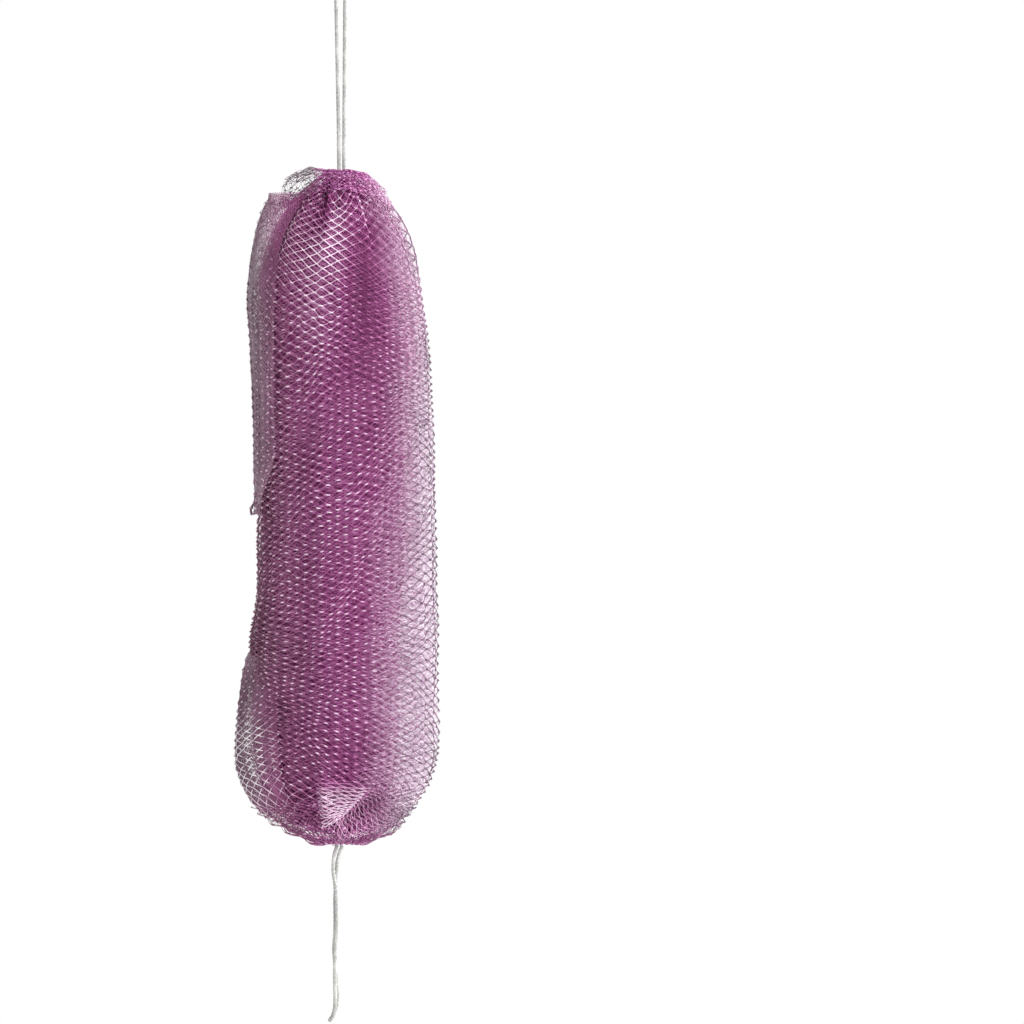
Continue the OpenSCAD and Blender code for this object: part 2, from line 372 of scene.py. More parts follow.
def lashing(name, cad_node):
    low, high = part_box(cad_node)
    a = np.linspace(0, 2 * math.pi * TWINE_TURNS, 220)
    reach = (high.x - low.x) / 2 - TWINE_RADIUS
    rise = np.linspace(low.z + TWINE_RADIUS, high.z - TWINE_RADIUS, len(a))
    line = np.stack([reach * np.cos(a), reach * np.sin(a), rise], -1)
    twine = rope(line, TWINE_RADIUS, strands=2, pitch=3 * MM, groove=0.25, sides=12)
    dress(new_mesh(name, [twine]), TWINE, "scrubber", cad_node)


hand_loop("top_loop_cord", "top_loop", "top_hand_loop", TOP_ROUTE, 9 * MM, 0.1)
hand_loop(
    "bottom_loop_cord", "bottom_loop", "bottom_hand_loop", BOTTOM_ROUTE, 7 * MM, 0.16,
)
stopper_knot("top_knot_cord", (-0.8, 1.8), "top_stopper_knot", -106.9 * MM)
stopper_knot("bottom_knot_cord", (-2.1, 0.5), "bottom_stopper_knot", -456.6 * MM)
lashing("top_neck_twine", "top_lashing")
lashing("bottom_neck_twine", "bottom_lashing")

# The hidden cord keeps its CAD solid, in the loops' own material.
core_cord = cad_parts["core_cord"].data
core_cord.materials.clear()
core_cord.materials.append(WHITE_CORD)

# -------- the net body's surface
SLEEVE = "outer_net_sleeve"
NECK_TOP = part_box(SLEEVE)[1].z
NECK_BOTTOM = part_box(SLEEVE)[0].z
BODY_LENGTH = NECK_TOP - NECK_BOTTOM
ROWS, COLUMNS = 220, 480
EDGE = 0.0004  # how far inside a solid's two ends its surface is measured
RAY_START = 0.2  # rays come from this far out


def tree_of(names):
    vertices, faces, first = [], [], 0
    for name in names:
        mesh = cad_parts[name].data
        vertices += [v.co for v in mesh.vertices]
        faces += [[first + i for i in f.vertices] for f in mesh.polygons]
        first = len(vertices)
    return BVHTree.FromPolygons(vertices, faces)


def between(field, i, t, column):
    """The value of a grid that wraps round, a share t of the way from row i to the next, at any column."""
    k = column.astype(int) % field.shape[1]
    k2 = (k + 1) % field.shape[1]
    s = column - np.floor(column)
    if field.ndim == 3:
        t, s = t[..., None], s[..., None]
    upper = (1 - s) * field[i, k] + s * field[i, k2]
    lower = (1 - s) * field[i + 1, k] + s * field[i + 1, k2]
    return (1 - t) * upper + t * lower


class Envelope:
    """How far some CAD nodes reach from the body's axis, at any height and angle."""

    def __init__(self, names, top, bottom, rows=90, columns=72):
        tree = tree_of(names)
        share = 0.5 - 0.5 * np.cos(np.linspace(0, math.pi, rows))
        self.z = top - EDGE + (bottom - top + 2 * EDGE) * share
        self.columns = columns
        self.reach = np.zeros((rows, columns))
        for i, z in enumerate(self.z):
            for k in range(columns):
                a = 2 * math.pi * k / columns
                out = Vector((math.cos(a), math.sin(a), 0))
                hit = tree.ray_cast(out * RAY_START + Vector((0, 0, z)), -out)[0]
                if hit is not None:
                    self.reach[i, k] = math.hypot(hit.x, hit.y)

    def at(self, z, angle):
        row = np.interp(-z, -self.z, np.arange(len(self.z)))
        i = np.minimum(row.astype(int), len(self.z) - 2)
        return between(self.reach, i, row - i, (angle / (2 * math.pi) % 1) * self.columns)


SLEEVE_REACH = Envelope([SLEEVE], NECK_TOP, NECK_BOTTOM)


def all_round(columns):
    """Angles once round the body, from its back."""
    return np.linspace(-math.pi, math.pi, columns, endpoint=False) + math.pi / 2


def waves(seed, angle, z, lobes, rise, count):
    """A smooth wavy field from -1 to 1 over the surface: lobes round it, rise waves down it."""
    random = np.random.default_rng(seed)
    total = np.zeros(np.broadcast(angle, z).shape)
    for _ in range(count):
        around = random.integers(lobes[0], lobes[1] + 1)
        down = random.uniform(*rise) * 2 * math.pi / BODY_LENGTH
        total += np.cos(around * angle + down * z * random.choice([-1, 1]) + random.uniform(0, 2 * math.pi))
    return total / count


def pleats(angle, z):
    """How far the net stands out or in, in metres, in the folds that run from each neck."""
    from_top = (NECK_TOP - z) / MM
    from_bottom = (z - NECK_BOTTOM) / MM
    top_share = step(from_top, 1, 9) * (1 - step(from_top, 16, 62))
    bottom_share = step(from_bottom, 1, 8) * (1 - step(from_bottom, 12, 46))
    top_folds = np.cos(11 * angle + 0.8 + 0.5 * np.sin(3 * angle)) + 0.5 * np.cos(19 * angle + 2.1)
    bottom_folds = np.cos(12 * angle + 2.6 + 0.4 * np.sin(2 * angle)) + 0.5 * np.cos(21 * angle + 0.4)
    return MM * (1.5 * top_share * top_folds + 1.4 * bottom_share * bottom_folds)


def creases(x, z, front):
    """The deep valley under the top neck and the hollow fold above the bottom neck, both in front."""
    x, z = x / MM, z / MM
    top = NECK_TOP / MM
    bottom = NECK_BOTTOM / MM
    valley = -2.0 * bump(x, -6.8, 3.0) * step(top - z, 1, 6) * (1 - step(top - z, 18, 36))
    lip = 2.0 * bump(x, 1.5, 4.5) * step(top - z, 1, 8) * (1 - step(top - z, 18, 40))
    along = x * 0.85 + (z - bottom) * 0.52
    off = -x * 0.52 + (z - bottom) * 0.85
    hollow = -7.0 * bump(off, 5.0, 4.4) * step(along, 2, 8) * (1 - step(along, 26, 38))
    crest = 3.6 * bump(off, 13.0, 3.6) * step(along, -6, 4) * (1 - step(along, 16, 30))
    return MM * front * (valley + lip + hollow + crest)


def long_folds(angle, z):
    """Soft folds that run the length of the body."""
    middle = step(NECK_TOP - z, 0.01, 0.05) * step(z - NECK_BOTTOM, 0.01, 0.05)
    drift = 0.25 * np.sin(z * 2 * math.pi / 0.21)
    folds = np.cos(5 * angle + drift + 0.4) + 0.7 * np.cos(8 * angle - drift + 1.9)
    folds = folds + 0.4 * np.cos(13 * angle + 2 * drift)
    return MM * 0.8 * middle * folds


def left_swelling(angle, z):
    """The left side stands a little further out just above the lower fold."""
    height = step(-z, 0.322, 0.352) * (1 - step(-z, 0.362, 0.392))
    return MM * 3.2 * height * step(-np.cos(angle), 0.5, 0.95)


class Skin:
    """A surface as a grid of points: rows run down it, and columns across it or once round it."""

    def __init__(self, grid, closed=True):
        self.closed = closed
        wrapped = np.concatenate([grid, grid[:, :1]], 1) if closed else grid
        steps = np.linalg.norm(np.diff(wrapped, axis=1), axis=2)
        self.girth = steps.sum(1)
        self.grid = np.empty_like(grid)
        for i, row in enumerate(wrapped):
            run = np.concatenate([[0], np.cumsum(steps[i])])
            want = np.linspace(0, run[-1], grid.shape[1], endpoint=not closed)
            for axis in range(3):
                self.grid[i, :, axis] = np.interp(want, run, row[:, axis])
        self.down = np.linalg.norm(np.diff(self.grid, axis=0), axis=2).mean(1)
        if closed:
            turn = np.roll(self.grid, -1, 1) - np.roll(self.grid, 1, 1)
        else:
            turn = np.gradient(self.grid, axis=1)
        self.normal = unit(np.cross(np.gradient(self.grid, axis=0), turn))

    def sample(self, field, row, share):
        """field at fractional rows, and at a share of the way across or round."""
        rows, columns = field.shape[:2]
        row = np.clip(row, 0, rows - 1.001)
        i = row.astype(int)
        column = (share % 1) * columns if self.closed else np.clip(share, 0, 0.99999) * (columns - 1)
        return between(field, i, row - i, column)


def body_skin(inside=0.0, shrink=(1, 1, 1), seed=0, rough=0.5, top=0.0, bottom=0.0):
    """One layer of the body. inside is its depth under the sleeve, shrink its left, right and front share."""
    left, right, deep = shrink
    angle = all_round(COLUMNS)
    share = 0.5 - 0.5 * np.cos(np.linspace(0, math.pi, ROWS))
    share = 0.7 * share + 0.3 * np.linspace(0, 1, ROWS)
    z = NECK_TOP - top - EDGE + (NECK_BOTTOM - NECK_TOP + top + bottom + 2 * EDGE) * share
    z, angle = np.meshgrid(z, angle, indexing="ij")
    tight = 0.7 * step(-np.cos(angle), 0.5, 0.95) + 0.6 * step(np.cos(angle), 0.5, 0.95)
    r = SLEEVE_REACH.at(z, angle) - inside * (1 - tight)
    x = r * np.cos(angle) * np.where(np.cos(angle) < 0, left, right)
    y = r * np.sin(angle) * deep
    r, angle = np.hypot(x, y), np.arctan2(y, x)
    front = step(-np.sin(angle), 0.15, 0.6)
    r = r + pleats(angle, z) + creases(x, z, front) + long_folds(angle, z) + left_swelling(angle, z)
    r = np.maximum(r + MM * rough * waves(seed, angle, z, (2, 9), (2, 9), 6), 2.2 * MM)
    return Skin(np.stack([r * np.cos(angle), r * np.sin(angle), z], -1))


# -------- netting
# One side of a cell: how far across and down each of its points is, and how thick it is there.
FINE = (
    (0, 0, 2.7), (0.13, 0.03, 1.9), (0.3, 0.22, 0.85), (0.5, 0.5, 0.75), (0.7, 0.78, 0.85), (0.87, 0.97, 1.9),
)
PLAIN = ((0, 0, 1.9), (0.25, 0.12, 1.2), (0.75, 0.88, 1.2))
COARSE = ((0, 0, 1.8), (0.5, 0.5, 0.9))


def row_places(skin, cells, tall):
    """Where the half rows of cells lie down the skin. Cells that are squeezed narrow grow long."""
    width = skin.girth / cells
    z = -skin.grid[:, :, 2].mean(1)
    lower_down = 1 - 0.12 * step(z, 0.32, 0.37)
    squeezed = 0.7 + 0.7 * step(z, 0.405, 0.435)
    height = tall * lower_down + squeezed * (width.max() - width)
    half_rows = np.concatenate([[0], np.cumsum(skin.down / ((height[1:] + height[:-1]) / 4))])
    count = max(2, int(half_rows[-1]))
    return count, half_rows * count / half_rows[-1]


# How many waves the lattice's wandering has round the skin, and for each half row down it.
WARP_WAVES = ((2, 0.011), (3, -0.017), (5, 0.013), (7, -0.031), (9, 0.047))


def warp(random, share, v):
    """A smooth wandering of the lattice, from about -1 to 1, that closes round the skin."""
    total = 0
    for around, down in WARP_WAVES:
        total = total + np.sin(2 * math.pi * (around * share + down * v) + random.uniform(0, 2 * math.pi))
    return total / len(WARP_WAVES)


def netting(
    skin, cells, seed, radius, tall, tone, profile=FINE, sides=4, lift=0.1 * MM, pucker=0.0,
    jitter=(0.07, 0.3), wander=1.0, tails=0.0, part=(0, 1), pulled=None, swell=None, slant=None,
):
    """Netting on a skin, as mesh parts and their shine: two families of filaments that cross at knots.

    tall is a cell's height, pucker how far knots stand out, jitter and wander how far knots and rows stray,
    tails the longest cut end, and part the share of the rows to make. tone, pulled, swell and slant are
    functions for the shine, how straight the net is pulled, extra thickness and the slope of the rows."""
    random = np.random.default_rng(seed)
    count, half_rows = row_places(skin, cells, tall)
    levels = skin.grid[:, :, 2].mean(1)
    across, down, thick = (np.array(x) for x in zip(*profile, strict=True))
    knots = np.arange(count)[:, None]
    h = np.append((knots + across).ravel(), count)
    v = np.append((knots + down).ravel(), count)
    thickness = np.append(np.tile(thick, count), thick[0])
    knottiness = np.clip((thickness - 0.8) / (thick[0] - 0.8), 0, 1)
    calm = np.ones(len(v))
    if pulled is not None:
        share = pulled(np.interp(h, half_rows, levels))
        calm = 1 - 0.85 * share
        v = v + share * (h - v)
        thickness = thickness + share * (1.5 - thickness)
        knottiness = knottiness + 0.6 * share * (0.5 - knottiness)
    drift = random.uniform(-1, 1, (count + 1, 2 * cells + 1, 2)) * jitter
    drift[[0, -1], :, 1] = 0
    bright = random.uniform(0.6, 1.15, (count + 1, 2 * cells + 1))
    seeds = (200 + seed // 2, 300 + seed // 2)
    knot = np.minimum(np.floor(h).astype(int), count - 1)
    along = (h - knot)[None, :, None]
    window = calm * step(v, 0, 6)[None] * (1 - step(v, count - 6, count))[None]
    fade = min(18, count / 4)
    ends = step(v, 0, fade)[None] * (1 - step(v, count - fade, count))[None]
    middle_x = skin.grid[:, :, 0].mean()
    parts, shine = [], []
    for way in (1, -1):
        starts = np.arange(cells)[:, None]
        place, here, there = (starts + way * x[None] / 2 for x in (h, knot, knot + 1))
        if skin.closed:
            here, there = (np.round(2 * x).astype(int) % (2 * cells) for x in (here, there))
        else:
            place, here, there = (cells - np.abs(x % (2 * cells) - cells) for x in (place, here, there))
            here, there = (np.round(2 * x).astype(int) for x in (here, there))
        nudge = (1 - along) * drift[knot[None], here] + along * drift[knot[None] + 1, there]
        nudge = calm[None, :, None] * nudge
        share = place / cells
        sideways, downward = (window * warp(np.random.default_rng(n), share, v[None]) for n in seeds)
        row = v[None] + nudge[..., 1] + 2.5 * wander * downward
        share = share + (nudge[..., 0] + 0.45 * wander * sideways) / cells
        row = np.interp(row, half_rows, np.arange(len(half_rows)))
        if slant is not None:
            x, _, z = np.moveaxis(skin.sample(skin.grid, row, share), -1, 0)
            row = np.interp(-z - ends * slant(z) * (x - middle_x), -levels, np.arange(len(levels)))
        points = skin.sample(skin.grid, row, share)
        normals = unit(skin.sample(skin.normal, row, share))
        out = way * lift + pucker * np.cos(math.pi * v)[None, :, None]
        points = points + out * normals
        radii = np.broadcast_to(radius * thickness, share.shape)
        if swell is not None:
            radii = radii * (1 + swell(points))
        knotty = knottiness[None] * bright[knot[None], here]
        low, high = (round(p * count) for p in part)
        chosen = (h >= low) & (h <= high)
        points, normals, radii, knotty = (x[:, chosen] for x in (points, normals, radii, knotty))
        if tails:
            points, normals, radii, knotty = cut_ends(points, normals, radii, knotty, tails, random)
        parts.append(tubes(points, normals, radii, sides))
        shine.append(np.repeat(np.clip(tone(points, knotty), 0, 1).ravel(), sides))
    return parts, shine


def cut_ends(points, normals, radii, knotty, length, random):
    """Runs each filament on past the last knot as a springy cut end of its own length."""
    lines = len(points)
    long = length * random.uniform(0.1, 1.0, (lines, 1)) ** 1.5
    ahead = unit(points[:, -1] - points[:, -3])
    bend = unit(ahead + random.normal(0, 0.55, (lines, 3)) + 0.3 * normals[:, -1])
    tip = points[:, -1]
    more = [tip + long * (t * ahead + t * t * (bend - ahead)) for t in (0.35, 0.7, 1.0)]
    points = np.concatenate([points, np.stack(more, 1)], 1)
    normals = np.concatenate([normals, np.repeat(normals[:, -1:], 3, 1)], 1)
    thin = radii.min() * np.ones((lines, 1))
    radii = np.concatenate([radii, thin, thin, 0.6 * thin], 1)
    return points, normals, radii, np.concatenate([knotty, np.full((lines, 3), 0.3)], 1)


def spots(points, places):
    """Soft patches on the front of the net, for painted light and shade and for thicker filaments: each is x,
    z, half width, half height (mm) and strength.
    """
    x, y, z = (points[..., i] / MM for i in range(3))
    total = sum(power * bump(x, at_x, wide) * bump(z, at_z, tall) for at_x, at_z, wide, tall, power in places)
    return step(-y, 2, 12) * total


# Painted light and shade on the front of the outer netting: brighter where it catches the light, and darker
# where a spot's strength is negative.
OUTER_SPOTS = [
    (-7, -152, 12, 14, 0.42), (-1, -134, 5, 13, 0.5), (13, -162, 8, 26, -0.5), (-6.8, -124, 2, 12, -0.5),
    (13, -128, 6, 9, 0.25), (-11, -182, 11, 26, 0.38), (17, -215, 10, 34, -0.18), (2, -300, 16, 60, 0.08),
    (-31, -390, 11, 38, -0.25), (9, -412, 9, 12, -0.3), (-3, -431, 9, 5, 0.5), (-3, -444, 7, 5, 0.3),
    (-16, -438, 9, 9, -0.35), (14, -436, 9, 6, -0.35), (28, -437, 9, 9, 0.25),
]
BRIGHT_SPOTS = [spot for spot in OUTER_SPOTS if spot[4] > 0.3]


def shade_under_fold(points):
    """1 on the body's left edge where the lower fold covers it, and 0 elsewhere: there the knots' painted
    highlights are dimmed as painted shade of the fold.
    """
    return step(-points[..., 0], 0.036, 0.044) * step(-points[..., 2], 0.33, 0.35)


def outer_tone(points, knotty):
    """Painted highlights: the knots glint in some places and hardly show in others, and are dimmed as painted
    shade under the lower fold. The spots add painted light and shade.
    """
    glint = waves(8, np.arctan2(points[..., 1], points[..., 0]), points[..., 2], (1, 6), (2, 7), 6)
    strength = (0.66 + 0.4 * glint) * (1 - 0.8 * shade_under_fold(points))
    return 0.27 + strength * knotty + spots(points, OUTER_SPOTS)


def inner_tone(points, knotty):
    # pale is painted light of the backlit right side.
    pale = 0.3 * step(points[..., 0], 0.022, 0.038)
    # The knots carry painted highlights, dimmed as painted shade where the lower fold covers the body; the
    # spots add painted light and shade.
    strength = 0.6 * (1 - 0.8 * shade_under_fold(points))
    return 0.14 + strength * knotty + pale + 0.6 * spots(points, OUTER_SPOTS)


def outer_swell(points):
    """The filaments look heaviest where they catch the light, and at the sides, where they show singly."""
    x, z = points[..., 0] / MM, points[..., 2] / MM
    right = (0.75 - 0.6 * step(-z, 305, 365)) * step(x, 24, 40) + 0.5 * step(-z, 305, 365) * step(x, 40, 46)
    return 0.8 * spots(points, BRIGHT_SPOTS) + right + 0.5 * step(-x, 34, 41)


def body_slant(z):
    """The rows fall to the right below the top neck, rise to the right in the middle and fall again below."""
    return np.interp(-z / MM, (150, 165, 250, 320, 395), (-0.22, -0.2, 0.24, 0.22, -0.16))


def outer_pull(z):
    """The net is pulled straight in the band below the top neck and round the bottom neck."""
    return bump(z, -0.152, 0.023) + step(-z, 0.42, 0.435)


# Outer filament: knot colours are painted highlights, left colours painted shade of the left side, and right
# colours painted dark outlines of the backlit right side.
OUTER = net_material(
    "outer_net_filament",
    ((0.22, 0.02, 0.14), (0.54, 0.15, 0.40), (1.0, 0.82, 0.96)),
    ((0.15, 0.04, 0.09), (0.36, 0.15, 0.25), (0.92, 0.76, 0.85)),
    ((0.05, 0.015, 0.04), (0.11, 0.045, 0.095), (0.38, 0.22, 0.34)),
)
# Sleeve filament: knot colours are painted highlights, left colours painted shade of the left side, and right
# colours the painted pale light of the backlit right side.
SLEEVE_LOOK = net_material(
    "sleeve_filament",
    ((0.24, 0.025, 0.15), (0.48, 0.095, 0.355), (0.93, 0.46, 0.79)),
    ((0.22, 0.05, 0.135), (0.40, 0.14, 0.27), (0.72, 0.46, 0.60)),
    ((0.78, 0.50, 0.72), (0.94, 0.72, 0.90), (1.0, 0.91, 0.98)),
)
# Core filament: knot colours are painted highlights, left colours painted shade of the left side, and right
# colours the painted pale light of the backlit right side.
CORE_LOOK = net_material(
    "core_filament",
    ((0.33, 0.03, 0.19), (0.55, 0.08, 0.37), (0.85, 0.30, 0.69)),
    ((0.23, 0.04, 0.135), (0.37, 0.09, 0.235), (0.58, 0.24, 0.44)),
    ((0.70, 0.34, 0.60), (0.88, 0.56, 0.82), (1.0, 0.78, 0.95)),
)
OUTER_PLACE = (OUTER, "outer_net", "outer_net_sleeve")
LINING_PLACE = (SLEEVE_LOOK, "outer_net", "outer_net_sleeve")
MIDDLE_PLACE = (SLEEVE_LOOK, "sleeve_net", "middle_net_sleeve")
INNER_PLACE = (CORE_LOOK, "core_net", "inner_net_sleeve")
# Name, look with slot and CAD node, cells round it, depth under the sleeve (mm), left, right and front
# share of the sleeve's reach, height of a cell (mm), profile and filament radius (mm), from the outside in.
LAYERS = [
    ("outer_net", OUTER_PLACE, 28, 0.2, (1, 1, 1), 4.1, FINE, 0.15),
    ("outer_lining", LINING_PLACE, 28, 1.3, (1, 1, 0.98), 3.8, PLAIN, 0.15),
    ("middle_net_outer", MIDDLE_PLACE, 28, 2.6, (0.985, 0.98, 0.96), 4.0, PLAIN, 0.16),
    ("middle_net_middle", MIDDLE_PLACE, 30, 3.6, (0.98, 0.95, 0.94), 3.7, PLAIN, 0.16),
    ("middle_net_inner", MIDDLE_PLACE, 29, 4.6, (0.97, 0.915, 0.92), 3.9, COARSE, 0.17),
    ("inner_net_outer", INNER_PLACE, 30, 5.6, (0.96, 0.87, 0.89), 3.6, COARSE, 0.18),
    ("inner_net_inner", INNER_PLACE, 30, 6.6, (0.95, 0.81, 0.86), 3.6, COARSE, 0.2),
]
# The outermost layer shows most, so it is rounder and finer, and its mesh is in three pieces.
OUTERMOST = dict(sides=4, pucker=0.45 * MM, tone=outer_tone, swell=outer_swell)
UNDER = dict(sides=3, pucker=0.4 * MM, tone=inner_tone)


def declare_net(piece, width, length):
    """Rounds the width and length and reads the areas of the piece's faces, but keeps none of them."""
    width, length = round(width, 3), round(length, 3)
    faces = np.empty(len(piece.data.polygons), np.float32)
    piece.data.polygons.foreach_get("area", faces)


for index, (name, (look, slot, cad_node), cells, inside, shrink, tall, profile, radius) in enumerate(LAYERS):
    skin = body_skin(inside * MM, shrink, seed=40 + index // 2, rough=0.6)
    endings = ("_upper", "_middle", "_lower") if index == 0 else ("",)
    options = OUTERMOST if index == 0 else UNDER
    for k, ending in enumerate(endings):
        parts, shine = netting(
            skin, cells, 70 + index, radius * MM, tall * MM, profile=profile, pulled=outer_pull,
            part=(k / len(endings), (k + 1) / len(endings)), slant=body_slant, wander=0.7, **options,
        )
        piece = new_mesh(name + ending, parts, shine)
        dress(piece, look, "scrubber", cad_node)
        declare_net(piece, float(skin.girth.max()), float(skin.down.sum()) / len(endings))


# -------- the rolled core
def core_material():
    """Many turns of netting lying on each other, too close together to tell apart."""
    made, tree, shader, place = material("rolled_core_net")
    cells = node(tree, "TexVoronoi", feature="DISTANCE_TO_EDGE", Scale=430.0)
    finer = node(tree, "TexVoronoi", feature="DISTANCE_TO_EDGE", Scale=700.0)
    for cell in (cells, finer):
        tree.links.new(place, cell.inputs["Vector"])
    cloud = noise(tree, place, 45.0)
    lines = maths(
        tree, "ADD", ranged(tree, cells.outputs["Distance"], 0.0, 0.12, 0.5, 0.0),
        ranged(tree, finer.outputs["Distance"], 0.0, 0.12, 0.3, 0.0),
    )
    level = maths(tree, "ADD", lines, spread(tree, cloud, 0.0, 0.25))
    stops = [(0.0, (0.34, 0.03, 0.21)), (0.45, (0.54, 0.08, 0.38)), (1.0, (0.80, 0.29, 0.70))]
    colour = ramp(tree, level, stops)
    tree.links.new(colour, shader.inputs["Base Color"])
    tree.links.new(spread(tree, cloud, 0.5, 0.8), shader.inputs["Roughness"])
    height(tree, lines, shader, 0.0006)
    shader.inputs["Sheen Weight"].default_value = 0.2
    return made


def closed_grid(grid):
    """A closed solid from rings of points, with a fan of triangles at each end."""
    rows, columns = grid.shape[:2]
    index = np.arange(rows * columns).reshape(1, rows, columns)
    quads = ring_faces(index)[0]
    tips = np.stack([grid[0].mean(0), grid[-1].mean(0)])
    first, last = index[0, 0], index[0, -1]
    top = np.stack([np.full(columns, rows * columns), np.roll(first, -1), first], -1)
    bottom = np.stack([np.full(columns, rows * columns + 1), last, np.roll(last, -1)], -1)
    return np.concatenate([grid.reshape(-1, 3), tips]), quads, top, bottom


def core_roll():
    skin = body_skin(7.5 * MM, (0.94, 0.72, 0.80), seed=9, rough=0.7, top=10 * MM, bottom=10 * MM)
    grid = skin.grid[::2, ::4]
    angle = np.arctan2(grid[..., 1], grid[..., 0])
    z = grid[..., 2]
    middle = step(NECK_TOP - z, 0.012, 0.05) * step(z - NECK_BOTTOM, 0.012, 0.05)
    rolls = 0.06 * np.abs(np.sin(2.5 * angle + 9 * z)) + 0.025 * waves(5, angle, z, (5, 12), (5, 14), 6)
    scale = 1 + middle * (rolls - 0.03)
    thinner = 1 - 0.14 * step(grid[..., 0], 0, 0.02) * step(-z, 0.30, 0.37)
    grid = grid * np.stack([scale * thinner, scale, np.ones_like(scale)], -1)
    piece = new_mesh("core_roll", [closed_grid(grid[::-1])])
    dress(piece, core_material(), "scrubber", "net_core_roll")


core_roll()


# -------- folds that stand off the left side
NARROW_RUN = 0.035  # a fold's back half narrows over this length at both ends
RIPPLE_LENGTH = 0.037


def fold_skin(cad_node, share, arc, top=0.0, taper=0.0, flare=0.0, wave=0.3):
    """A fold's sheet, from the body in front, out to a share of the fold's depth and round to the back.

    arc is half its angle, top lowers its start, and it thins out over its last taper, up to a last flare.
    Its back half ripples, and narrows at both ends."""
    low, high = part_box(cad_node)
    reach = Envelope([SLEEVE, cad_node], high.z, low.z, 60, 144)
    z = np.linspace(high.z - 0.5 * MM - top, low.z + 0.5 * MM, 120)
    turn = np.linspace(-1, 1, 140)
    z, turn = np.meshgrid(z, turn, indexing="ij")
    from_start, from_end = z.max() - z, z - z.min()
    narrow = 1 - 0.5 * (1 - step(from_start, 0, NARROW_RUN)) - 0.4 * (1 - step(from_end, 0, NARROW_RUN))
    back = step(turn, 0, 0.3)
    sides = 1 - back * (1 - narrow * (1 + 0.07 * np.sin(z * 2 * math.pi / RIPPLE_LENGTH)))
    if taper:
        sides = sides * (1 - 0.5 * (1 - back) * (1 - step(from_end, 0, 0.03)))
    angle = math.pi - turn * math.radians(arc) * sides
    edge = np.clip((1 - np.abs(turn)) * 7, 0, 1)
    body = SLEEVE_REACH.at(z, angle) + 0.5 * MM
    out = np.maximum(reach.at(z, angle) - body, 0)
    if taper:
        out = out * (0.2 + 0.8 * step(from_end, 0.002, taper)) + flare * bump(from_end, 0.001, 0.005)
    r = body + share * edge * out + wave * MM * edge * waves(3, angle * 3, z, (2, 6), (6, 16), 5)
    return Skin(np.stack([r * np.cos(angle), r * np.sin(angle), z], -1), closed=False)


def loose_net(name, skin, cells, seed, look, slot, cad_node, radius, tall, tone, **options):
    """A fold or a ruffle: netting on its own skin, riding the scrubber. radius and tall are in mm."""
    parts, shine = netting(skin, cells, seed, radius * MM, tall * MM, tone, **options)
    piece = new_mesh(name, parts, shine)
    dress(piece, look, "scrubber", cad_node)
    declare_net(piece, float(skin.girth.mean()), float(skin.down.sum()))


# Sheer filament: left colours are grey, partly the filament's own colour and partly painted shade of the left
# side; the knot colours are painted highlights.
SHEER = net_material(
    "sheer_filament",
    ((0.27, 0.04, 0.17), (0.40, 0.11, 0.28), (0.85, 0.60, 0.76)),
    ((0.17, 0.05, 0.115), (0.36, 0.19, 0.285), (1.0, 0.95, 0.98)),
    left_shade_edge=(-0.045, -0.030),
)
# Fold filament: left colours are grey, partly the filament's own colour and partly painted shade of the left
# side; the knot colours are painted highlights.
FOLD = net_material(
    "fold_filament",
    ((0.27, 0.04, 0.17), (0.42, 0.13, 0.31), (0.88, 0.62, 0.80)),
    ((0.12, 0.04, 0.085), (0.28, 0.13, 0.21), (0.95, 0.82, 0.90)),
    left_shade_edge=(-0.045, -0.030),
)
# Wiry filament: knot colours are painted highlights, left colours painted shade of the left side, and right
# colours greyer and darker, painted shade of the backlit right side.
WIRY = net_material(
    "wiry_filament",
    ((0.28, 0.03, 0.19), (0.56, 0.15, 0.44), (1.0, 0.68, 0.92)),
    ((0.12, 0.08, 0.10), (0.26, 0.19, 0.23), (0.80, 0.68, 0.75)),
    ((0.20, 0.06, 0.15), (0.45, 0.20, 0.38), (0.85, 0.62, 0.80)),
    left_shade_edge=(-0.016, -0.007),
)


def film_tone(points, knotty):
    """Painted light and shade on the film: pale in front, above a slanting line at the top and in the middle,
    and darker behind, in painted shade. Its knots add a little painted highlight.
    """
    x, y, z = (points[..., i] / MM for i in range(3))
    above = z + 128 - 2.4 * (x + 26)
    middle = 0.26 * step(-z, 150, 190) - 0.24 * step(-z, 355, 375)
    front = 1 - step(y, 1, 11)
    return 0.08 + 0.1 * knotty + front * (0.12 + 0.3 * step(above, -8, 16) + middle)


def film_swell(points):
    """The film is thin round the back and at the upper fold's lower end, and heaviest at the lower fold."""
    back = step(points[..., 1], 0.012, 0.022)
    end = bump(points[..., 2], -0.299, 0.012)
    return 0.3 * step(-points[..., 2], 0.33, 0.36) - 0.65 * np.maximum(back, end)


def upper_tone(points, knotty):
    # Painted highlights on the knots, shown only below about 135 to 175 mm down.
    z = points[..., 2] / MM
    return 0.15 + 0.75 * knotty * step(-z, 135, 175)


def lower_tone(points, knotty):
    # Painted highlights on the knots, and painted light below about 390 mm down.
    z = points[..., 2] / MM
    return 0.3 + 0.6 * knotty + 0.6 * step(-z, 388, 400)


def lower_pull(z):
    return step(-z, 0.38, 0.4)


def upper_swell(points):
    """Thin filament over the film, and as heavy as the outer netting's below it."""
    return -0.35 + 0.95 * step(-points[..., 2], 0.15, 0.18)


def lower_slant(z):
    return 0.28 + 0 * z


